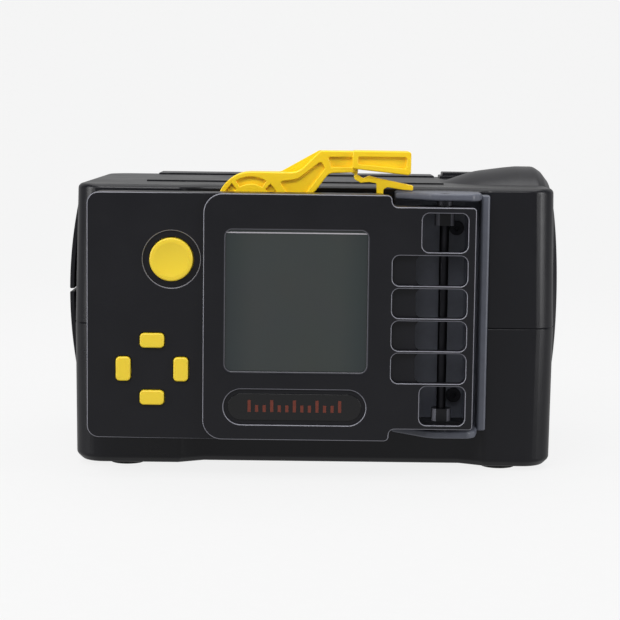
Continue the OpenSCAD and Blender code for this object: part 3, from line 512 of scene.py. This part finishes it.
shellLook = {
    "topEdge": 1.5,       # radius worked into both shoulders of the top chamfer
    "topChamfer": 1.0,
    "bottomEdge": 1.9,    # the same for the bottom chamfer
    "bottomChamfer": 2.2,
    "partingGroove": 0.3,
    "cornerRadius": 9.5,  # upright corners
    "recessEdge": 3.5,    # radius of the recess's outer edges
    "topDraft": 1.0,      # how much narrower each side is at the top than at the parting line
    "bottomDraft": 0.4,
    "skin": 0.03,         # how far the smooth skin lies inside the CAD faces
}
frontFace, recessFloor, backFace = -50, -45.6, 50


# Housing outline seen from above, at half width halfX
def housingPlan(halfX):
    soft, corner = shellLook["recessEdge"], shellLook["cornerRadius"]
    return filleted([
        (-halfX, frontFace, corner), (-44, frontFace, soft), (-35.8, recessFloor, 0),
        (48.1, recessFloor, 0), (56.3, frontFace, soft), (halfX, frontFace, corner),
        (halfX, backFace, corner), (-halfX, backFace, corner)], 10)


# Smooth skin of a shell: the plan swept up a profile of (inset, height, radius)
def shellSkin(name, profile, halfWidth):
    rings = []
    for inset, z in filleted(profile, 5)[1:-1]:
        rings.append((grow(housingPlan(halfWidth(z)), -inset - shellLook["skin"]), z))
    bm = bmesh.new()
    addLoft(bm, "z", rings)
    return newObject(name, bm)


def buildShells():
    look = shellLook
    upperLow, upperHigh = boxOf("upper_shell")
    split, top, widest = upperLow.z, upperHigh.z, upperHigh.x
    groove, topCut, bottomCut = look["partingGroove"], look["topChamfer"], look["bottomChamfer"]
    topRound, bottomRound = look["topEdge"], look["bottomEdge"]
    hidden, overlap, inset = 5, 0.01, 0.02
    lowerSkin = shellSkin("lowerSkin", [
        (hidden, inset, 0), (bottomCut, inset, bottomRound), (0, bottomCut, bottomRound),
        (0, split - groove, 0.3), (groove, split + overlap, 0), (hidden, split + overlap, 0)],
        lambda z: widest - look["bottomDraft"] * max(0, (split - z) / (split - bottomCut)))
    upperSkin = shellSkin("upperSkin", [
        (hidden, split - overlap, 0), (groove, split - overlap, 0), (0, split + groove, 0.3),
        (0, top - topCut, topRound), (topCut, top - inset, topRound), (hidden, top - inset, 0)],
        lambda z: widest - look["topDraft"] * min(1, max(0, (z - split) / (top - topCut - split))))
    place(combine(copyOf("lower_shell", "lowerShell"), "INTERSECT", lowerSkin), "lower_shell")
    place(combine(copyOf("upper_shell", "upperShell"), "INTERSECT", upperSkin), "upper_shell")


# Flared collar round the tunnel's mouth, with a crowned outside
def buildCollar():
    outline = filleted([
        (44, 36.5, 0), (55, 40.4, 30), (66, 41.9, 30), (70, 42.3, 12), (76, 42.3, 3), (78.4, 40.7, 2.5),
        (80.7, 37.7, 0.6), (80.7, 36.5, 0.5), (46, 25, 0.5), (46, 27.5, 0), (44, 27.5, 0), (44, 29.9, 0),
        (46, 29.9, 0), (74, 37.3, 0), (74, 39.9, 0), (66, 39.5, 0), (47, 35.1, 0), (47, 33.9, 0),
        (44, 33.9, 0)], 5)
    place(turned("entryCollar", "x", (0, 55.5), outline, 160), "entry_collar", 30)


softCopies = {
    # node: radius given to its edges
    "top_plate": 0.18,
    "antenna_cover": 0.4,
    "exit_door_upper": 0.35,
    "exit_door_lower": 0.35,
    "battery_door": 0.25,
    "rubber_feet": 0.25,
    "latch_keeper": 0.4,
    "power_switch_knob": 0.15,
    "head_screws": 0.12,
    "bracket_screws": 0.2,
    "arm_pivot_screw": 0.2,
    "case_screws": 0.15,
}


def buildSoftCopies():
    for node, width in softCopies.items():
        words = node.split("_")
        name = words[0] + "".join(word.capitalize() for word in words[1:])
        place(roundEdges(copyOf(node, name), width, None, 2), node)


# Hinge bracket

bracketLook = {"legEdge": 0.7, "spineEdge": 0.55}
spineHeight = (13.4, 90)
legThickness = 2.45
hingeAxis = (41, -62.5)


def buildBracket():
    low, high = boxOf("hinge_bracket")
    legPlan = filleted([
        (25.6, recessFloor, 0), (25.6, -53, 0.8), (36.2, -63.4, 4), (39, -64.5, 2), (49.8, -64.5, 2.2),
        (52.2, -62.2, 2), (53.2, -57, 3), (53.2, -50.2, 1), (48.1, recessFloor, 0)])
    spinePlan = filleted([
        (25.6, recessFloor, 0), (48.1, recessFloor, 0), (56.1, -49.9, 1.2), (56.1, -56.1, 0.9),
        (53.2, -56.1, 0.9), (53.2, -51, 1), (48.6, -48.1, 1), (25.6, -48.1, 0.5)])
    legEdge, spineEdge = bracketLook["legEdge"], bracketLook["spineEdge"]
    bracket = slab("hingeBracket", "z", spinePlan, *spineHeight, spineEdge, spineEdge)
    legs = [slab("leg", "z", legPlan, z, z + legThickness, legEdge, legEdge)
            for z in (low.z, high.z - legThickness)]
    combine(bracket, "UNION", *legs)
    pin = slab("pinBore", "z", circle(*hingeAxis, 1.52), low.z - 1, high.z + 1)
    screws = drills("screwHoles", [(circle(x, z, 1.3, 24), -52, -44) for x in (30, 46) for z in (24, 79)])
    place(combine(bracket, "DIFFERENCE", pin, screws), "hinge_bracket")


# Display head

headLook = {
    "frontEdge": 0.45,     # edges of the raised display part, its openings and the button plate
    "backEdge": 0.7,
    "stepFillet": 1.8,     # hollow corner where the yoke steps down
    "skin": 0.02,          # how far the smooth skin lies inside the CAD faces
    "slopeWidth": 1.2,     # frame that slopes down to the lens
    "slopeDepth": 0.52,
    "plugMargin": 1.9,     # how far the window is filled round it before it is cut again
    "windowRadius": 2.2,
    "paneEdge": 0.12,      # edges of the lens and of the label
}
windowAt = (-5.9, 56.5)
windowHalf = 22.55
labelAt = (-6.1, 22.6)
labelHalf = (22.6, 5.65)
labelRim = 1.4
powerAt = (-45.5, 69.3)
padAt = (-51.5, 34.3)
keyRing = 9.15
keyHalf = (3.85, 2.325)
keyRadius = 1.3
plateStep = 1.5            # how far the button plate lies behind the display part
yokeLeft = 24
yokeHeights = (15.9, 86.7)
keyPlaces = {
    # node: centre, and whether it lies across
    "key_up": (padAt[0], padAt[1] + keyRing, True),
    "key_down": (padAt[0], padAt[1] - keyRing, True),
    "key_left": (padAt[0] - keyRing, padAt[1], False),
    "key_right": (padAt[0] + keyRing, padAt[1], False),
}


def keyOutline(x, z, across, extra=0):
    halfX, halfZ = keyHalf if across else keyHalf[::-1]
    return roundRectAt((x, z), halfX + extra, halfZ + extra, keyRadius + extra)


def labelOutline(inset):
    halfZ = labelHalf[1] - inset
    return roundRectAt(labelAt, labelHalf[0] - inset, halfZ, halfZ - 0.01, 16)


# The window's outline grown outwards by a distance
def windowOutline(extra, radius, steps=6):
    return roundRectAt(windowAt, windowHalf + extra, windowHalf + extra, radius, steps)


# Hollow fillets that lead from the display part into the narrower yoke
def stepFillets(front, back):
    r = headLook["stepFillet"]
    inside, below = yokeLeft - 0.6, 0.6
    arc = [math.radians(a) for a in range(0, 91, 15)]
    shapes = []
    for z, up in ((yokeHeights[1], 1), (yokeHeights[0], -1)):
        hollow = [(yokeLeft + r - r * math.cos(a), z + up * (r - r * math.sin(a))) for a in arc]
        outline = [(inside, z + up * r)] + hollow + [(yokeLeft + r, z - up * below), (inside, z - up * below)]
        shapes.append((outline, front, back))
    return drills("stepFillets", shapes)


# Fills the window, so that it can be cut again after the other edges are rounded
def plugWindow(cover, front):
    lens = boxOf("display_lens")[0].y
    outline = windowOutline(headLook["plugMargin"], 0)
    combine(cover, "UNION", slab("windowPlug", "y", outline, front, lens - 0.02))


# Cuts the window with a frame that slopes down to the lens, and with rounder corners than its CAD
def recutWindow(cover, front):
    lens = boxOf("display_lens")[0].y
    width, depth, radius = (headLook[key] for key in ("slopeWidth", "slopeDepth", "windowRadius"))
    beyond = 0.2           # share of the slope that lies in front of the cover
    wide = windowOutline(width * (1 + beyond), radius + width * (1 + beyond), 8)
    narrow = windowOutline(0, radius, 8)
    bm = bmesh.new()
    addLoft(bm, "y", [(wide, front - depth * beyond), (narrow, front + depth), (narrow, lens + 0.3)])
    combine(cover, "DIFFERENCE", newObject("windowCutter", bm))


def buildHeadFront():
    low, high = boxOf("head_front_cover")
    cover = combine(copyOf("head_front_cover", "headFrontCover"), "UNION", stepFillets(low.y, high.y))
    plugWindow(cover, low.y)
    reach = keyRing + 6
    keyField = (padAt[0] - reach, padAt[0] + reach, padAt[1] - reach, padAt[1] + reach)
    planes = [("y", low.y), ("y", low.y + plateStep), ("y", high.y)]
    roundEdges(cover, headLook["frontEdge"], planes, spare=keyField)
    recutWindow(cover, low.y)
    place(cover, "head_front_cover")


def buildHeadRear():
    low, high = boxOf("head_rear_cover")
    bottom, top = yokeHeights
    outline = filleted([
        (low.x, 12, 3.8), (yokeLeft, 12, 1.6), (yokeLeft, bottom, 0), (31.9, bottom, 0.3),
        (31.9, top, 0.3), (yokeLeft, top, 0), (yokeLeft, 90.4, 1.6), (low.x, 90.4, 3.8)], 8)
    skin = slab("rearSkin", "y", grow(outline, -headLook["skin"]), low.y - 1, high.y - headLook["skin"],
                0, headLook["backEdge"])
    place(combine(copyOf("head_rear_cover", "headRearCover"), "INTERSECT", skin), "head_rear_cover")


def buildWindowAndLabel():
    panes = (("displayLens", "display_lens", windowOutline(lensLap, 1.4 + lensLap)),
             ("labelPlate", "label_plate", labelOutline(labelRim)))
    for name, node, outline in panes:
        low, high = boxOf(node)
        place(slab(name, "y", outline, low.y, high.y, headLook["paneEdge"], 0), node)


# Buttons

buttonLook = {
    "capEdge": 0.5,
    "dishRadius": 25.2,
    "dishDepth": 0.6,
    "flange": 0.8,         # how far a key's hidden flange reaches past its cap
}
capRadius = 6.85
coverDepth = 3.7           # from the display part's face to the inside of the cover


# Dished round cap, from its shallow hollow round to its stem
def buildPowerButton():
    low, high = boxOf("power_button")
    face = low.y
    sphere, dip = buttonLook["dishRadius"], buttonLook["dishDepth"]
    rim = math.sqrt(sphere ** 2 - (sphere - dip) ** 2)
    steps = 12
    dish = [(face - (sphere - dip) + math.sqrt(sphere ** 2 - (rim * k / steps) ** 2), rim * k / steps)
            for k in range(steps)]
    inner = boxOf("head_front_cover")[0].y + coverDepth
    outline = filleted([
        (face, rim, 1.2), (face, capRadius, buttonLook["capEdge"]), (inner + 0.3, capRadius, 0),
        (inner + 0.3, 7.85, 0), (inner + 1, 7.85, 0), (inner + 1, 1.6, 0), (high.y, 1.6, 0),
        (high.y, 0, 0), (face + dip, 0, 0)], 5)[:-1]
    place(turned("powerButton", "y", powerAt, dish + outline, 96), "power_button", 30)


def buildKeys():
    for node, (x, z, across) in keyPlaces.items():
        low, high = boxOf(node)
        inner = boxOf("head_front_cover")[0].y + coverDepth
        wide = keyOutline(x, z, across, buttonLook["flange"])
        key = slab("cap_" + node, "y", keyOutline(x, z, across), low.y, inner + 0.4, buttonLook["capEdge"], 0)
        flange = slab("flange", "y", wide, inner + 0.3, inner + 1)
        stem = slab("stem", "y", circle(x, z, 1.3, 32), inner + 0.9, high.y)
        place(combine(key, "UNION", flange, stem), node)


# Hanger arm and its sprung tongue

armLook = {
    "edge": 0.4,
    "pocketRim": 0.3,
    "pocketDepth": 1.1,
    "tongueEdge": 0.25,
}
webThickness = 2
tabReach = 2               # how far the tab stands out in front of the arm
hub = (-21, 85.7)
hubRadius = 11
hubPocket = (7.1, 9.4)     # inner and outer radius of the ring of pockets, five round the hub


# Blind pocket cutter along Y with a rounded rim at the front
def addPocket(bm, outline, front, bottom):
    rim = armLook["pocketRim"]
    rings = [(grow(outline, rim + 0.2), front - 0.15)]
    for degrees in (20, 43, 66, 90):
        angle = math.radians(degrees)
        rings.append((grow(outline, rim * (1 - math.sin(angle))), front + rim * (1 - math.cos(angle))))
    addLoft(bm, "y", rings + [(outline, bottom)])


def buildArm():
    low, high = boxOf("hanger_arm")
    front, back = low.y + tabReach, high.y
    web = back - webThickness
    floor = front + armLook["pocketDepth"]
    edge = armLook["edge"]
    under = [(hub[0] + hubRadius * math.cos(angle), hub[1] + hubRadius * math.sin(angle), 0)
             for angle in map(math.radians, range(90, 306, 5))]
    under += [(-0.2, 90.7, 6), (4.1, 96.5, 3), (12.6, 96.8, 0.6), (12.6, 103.7, 0.6)]
    flange = filleted(under + [(1.4, 103.7, 1.5), (-5.9, 96.6, 6)])
    incline = filleted(under + [(0.9, 103.7, 2), (-11.5, 96.7, 3)])
    arm = slab("hangerArm", "y", flange, front, web + 0.5, edge, 0)
    combine(arm, "UNION", slab("web", "y", incline, web, back, 0.1, edge))
    pockets = [
        filleted([(-11.9, 93.7, 0.8), (-6, 94.4, 6), (1.4, 100.3, 0.8), (2.8, 98.1, 0.8),
                  (-2.8, 90.6, 4), (-6.8, 86.4, 1.2)]),
        filleted([(3.75, 101.7, 0.5), (11.5, 101.7, 0.3), (11.5, 98.5, 0.3), (4.9, 98.5, 0.5)]),
    ] + [ringSector(*hub, *hubPocket, a + 5, a + 67) for a in range(54, 414, 72)]
    bm = bmesh.new()
    for outline in pockets:
        addPocket(bm, outline, front, floor)
    combine(arm, "DIFFERENCE", newObject("pockets", bm))
    wide, narrow = circle(*hub, 3.7), circle(*hub, 2.55)
    bm = bmesh.new()
    addLoft(bm, "y", [(circle(*hub, 4.2), front - 0.3), (wide, front + 0.2), (wide, front + 2.1),
                      (narrow, front + 2.1), (narrow, back + 1)])
    combine(arm, "DIFFERENCE", newObject("bore", bm))
    tab = filleted([(11.6, 103.9, 0.8), (30.4, 103.8, 1.0), (30.4, 96.1, 1.1), (11.6, 98.1, 0.8)])
    tab = slab("tab", "y", tab, low.y, back - 0.4, edge, edge)
    bm = bmesh.new()
    addPocket(bm, filleted([(13.4, 101.9, 0.5), (28.9, 101.9, 0.5), (28.9, 98.3, 0.5), (13.4, 99.6, 0.5)]),
              low.y, low.y + 1.2)
    combine(tab, "DIFFERENCE", newObject("hollow", bm))
    stub = filleted([(11.4, 98.4, 0.2), (13.4, 98.4, 0.2), (13.4, 96.5, 0.4), (11.4, 96.5, 0.5)])
    stub = slab("stub", "y", stub, front + 0.4, back - 0.6, 0.15, 0.15)
    combine(arm, "UNION", tab, stub)
    place(arm, "hanger_arm")


def buildTongue():
    low, high = boxOf("latch_tongue")
    outline = filleted([
        (12.1, 95.5, 0.3), (12.5, 94.5, 0.6), (14.4, 93.5, 1), (17, 93.8, 1), (19.4, 93.4, 0.5),
        (19.6, 89.3, 0.35), (21.5, 89.3, 0.35), (21.8, 91.6, 0.6), (23, 92.2, 1), (28, 91.4, 3),
        (31.2, 91.2, 0.4), (31.3, 92.8, 0.5), (19.1, 95.3, 2), (17, 95.9, 0.8), (15, 95, 1),
        (13.6, 96, 0.6), (12.4, 96, 0.4)])
    place(slab("latchTongue", "y", outline, low.y, high.y, armLook["tongueEdge"], armLook["tongueEdge"]),
          "latch_tongue")


# Thin web where the tongue springs from the arm and the real part bends; here it is one fixed piece
def buildLivingHinge():
    low, high = boxOf("latch_tongue")
    outline = filleted([(12.2, 96.9, 0), (13.3, 96.9, 0), (13.1, 95.4, 0), (12.4, 95.4, 0)])
    bm = bmesh.new()
    addLoft(bm, "y", [(outline, low.y + 0.2), (outline, high.y - 0.2)])
    web = newObject("livingHinge", bm)
    web.data.materials.append(finishes["yellow_plastic"])
    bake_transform(web)


buildShells()
buildCollar()
print("housing built")
buildSoftCopies()
buildBracket()
print("hardware built")
buildHeadFront()
buildHeadRear()
buildWindowAndLabel()
buildPowerButton()
buildKeys()
print("head built")
buildArm()
buildTongue()
buildLivingHinge()
print("arm built")


# Studio

studioLook = {
    "paper": "#f4f4f4",
    "paperTone": (0.06, 0.07),   # how much of the lamps' light it sends back
    "paperGlow": 0.935,      # the paper's own light, as the camera sees it
    "paperFill": 0.42,       # the same as it falls on the object
    "floorFront": -240,      # front edge of the paper, mm
    "floorBack": 900,
    "halfWidth": 1600,
    "wallHeight": 1500,
    "sweepRadius": 350,
    "world": 0.16,
}
# name: position in mm, size in mm, power in watts
softboxes = {
    "topSoftbox": ((0, 60, 900), (1100, 900), 6.6),
    "leftSoftbox": ((-950, -420, 250), (400, 700), 5.0),
    "rightSoftbox": ((950, -420, 250), (400, 700), 5.0),
    "frontSoftbox": ((-260, -900, 1000), (900, 400), 9.0),
    "frontCard": ((0, -1150, -120), (1500, 500), 0.8),
}


def buildStudio():
    look = studioLook
    floorZ = boxOf("rubber_feet")[0].z
    r = look["sweepRadius"]
    bend = look["floorBack"] - r
    path = [(look["floorFront"], floorZ), (bend, floorZ)]
    path += [(bend + r * math.sin(angle), floorZ + r - r * math.cos(angle))
             for angle in map(math.radians, range(6, 91, 6))]
    path.append((look["floorBack"], look["wallHeight"]))
    bm = bmesh.new()
    halfWidth = look["halfWidth"]
    left, right = [[bm.verts.new(spot("x", y, z, x)) for y, z in path] for x in (-halfWidth, halfWidth)]
    for i in range(len(path) - 1):
        bm.faces.new((left[i], left[i + 1], right[i + 1], right[i]))
    mesh = bpy.data.meshes.new("paperSweep")
    bm.to_mesh(mesh)
    bm.free()
    paper = bpy.data.objects.new("paperSweep", mesh)
    bpy.context.scene.collection.objects.link(paper)
    mesh.shade_smooth()
    material, tree, shader, place3d = newFinish("studioPaper", {
        "Roughness": 0.9, "Specular IOR Level": 0.1, "Emission Color": hexColour(look["paper"])})
    straight = addNode(tree, "ShaderNodeLightPath").outputs["Is Camera Ray"]
    glow = addNode(tree, "ShaderNodeMapRange",
                   values={"To Min": look["paperFill"], "To Max": look["paperGlow"]},
                   links={"Value": straight})
    tree.links.new(glow.outputs["Result"], shader.inputs["Emission Strength"])
    fibres = addNode(tree, "ShaderNodeTexNoise", values={"Scale": 300}, links={"Vector": place3d})
    darkest, lightest = look["paperTone"]
    tone = addNode(tree, "ShaderNodeMapRange", values={"To Min": darkest, "To Max": lightest},
                   links={"Value": fibres.outputs["Fac"]})
    tree.links.new(tone.outputs["Result"], shader.inputs["Base Color"])
    mesh.materials.append(material)


def buildLights():
    for name, (position, size, power) in softboxes.items():
        light = bpy.data.lights.new(name, "AREA")
        light.shape = "RECTANGLE"
        light.size, light.size_y = size[0] * 0.001, size[1] * 0.001
        light.energy = power
        obj = bpy.data.objects.new(name, light)
        obj.location = Vector(position) * 0.001
        aim = Vector((0, 0, 0.05)) - obj.location
        obj.rotation_euler = aim.to_track_quat("-Z", "Y").to_euler()
        bpy.context.scene.collection.objects.link(obj)
    world = bpy.data.worlds.new("studioAir")
    world.use_nodes = True
    background = world.node_tree.nodes["Background"]
    background.inputs["Color"].default_value = hexColour("#eef1f6")
    background.inputs["Strength"].default_value = studioLook["world"]
    bpy.context.scene.world = world


cameraLook = {"position": (-1.5, -640, 117.3), "pitch": 6.35, "roll": 0.7, "lens": 105.39}


def buildCamera():
    camera = bpy.data.cameras.new("camera")
    camera.lens = cameraLook["lens"]
    camera.sensor_width = 36
    camera.clip_start, camera.clip_end = 0.01, 20
    obj = bpy.data.objects.new("camera", camera)
    obj.location = Vector(cameraLook["position"]) * 0.001
    pitch, roll = math.radians(cameraLook["pitch"]), math.radians(cameraLook["roll"])
    forward = Vector((0, math.cos(pitch), -math.sin(pitch)))
    right = Vector((1, 0, 0))
    up = right.cross(forward)
    rolledRight = right * math.cos(roll) + up * math.sin(roll)
    rolledUp = up * math.cos(roll) - right * math.sin(roll)
    turn = [[rolledRight[i], rolledUp[i], -forward[i]] for i in range(3)]
    obj.rotation_mode = "QUATERNION"
    obj.rotation_quaternion = Matrix(turn).to_quaternion()
    bpy.context.scene.collection.objects.link(obj)
    bpy.context.scene.camera = obj


buildStudio()
buildLights()
buildCamera()
bpy.context.scene.view_settings.view_transform = "Standard"
print("studio built")
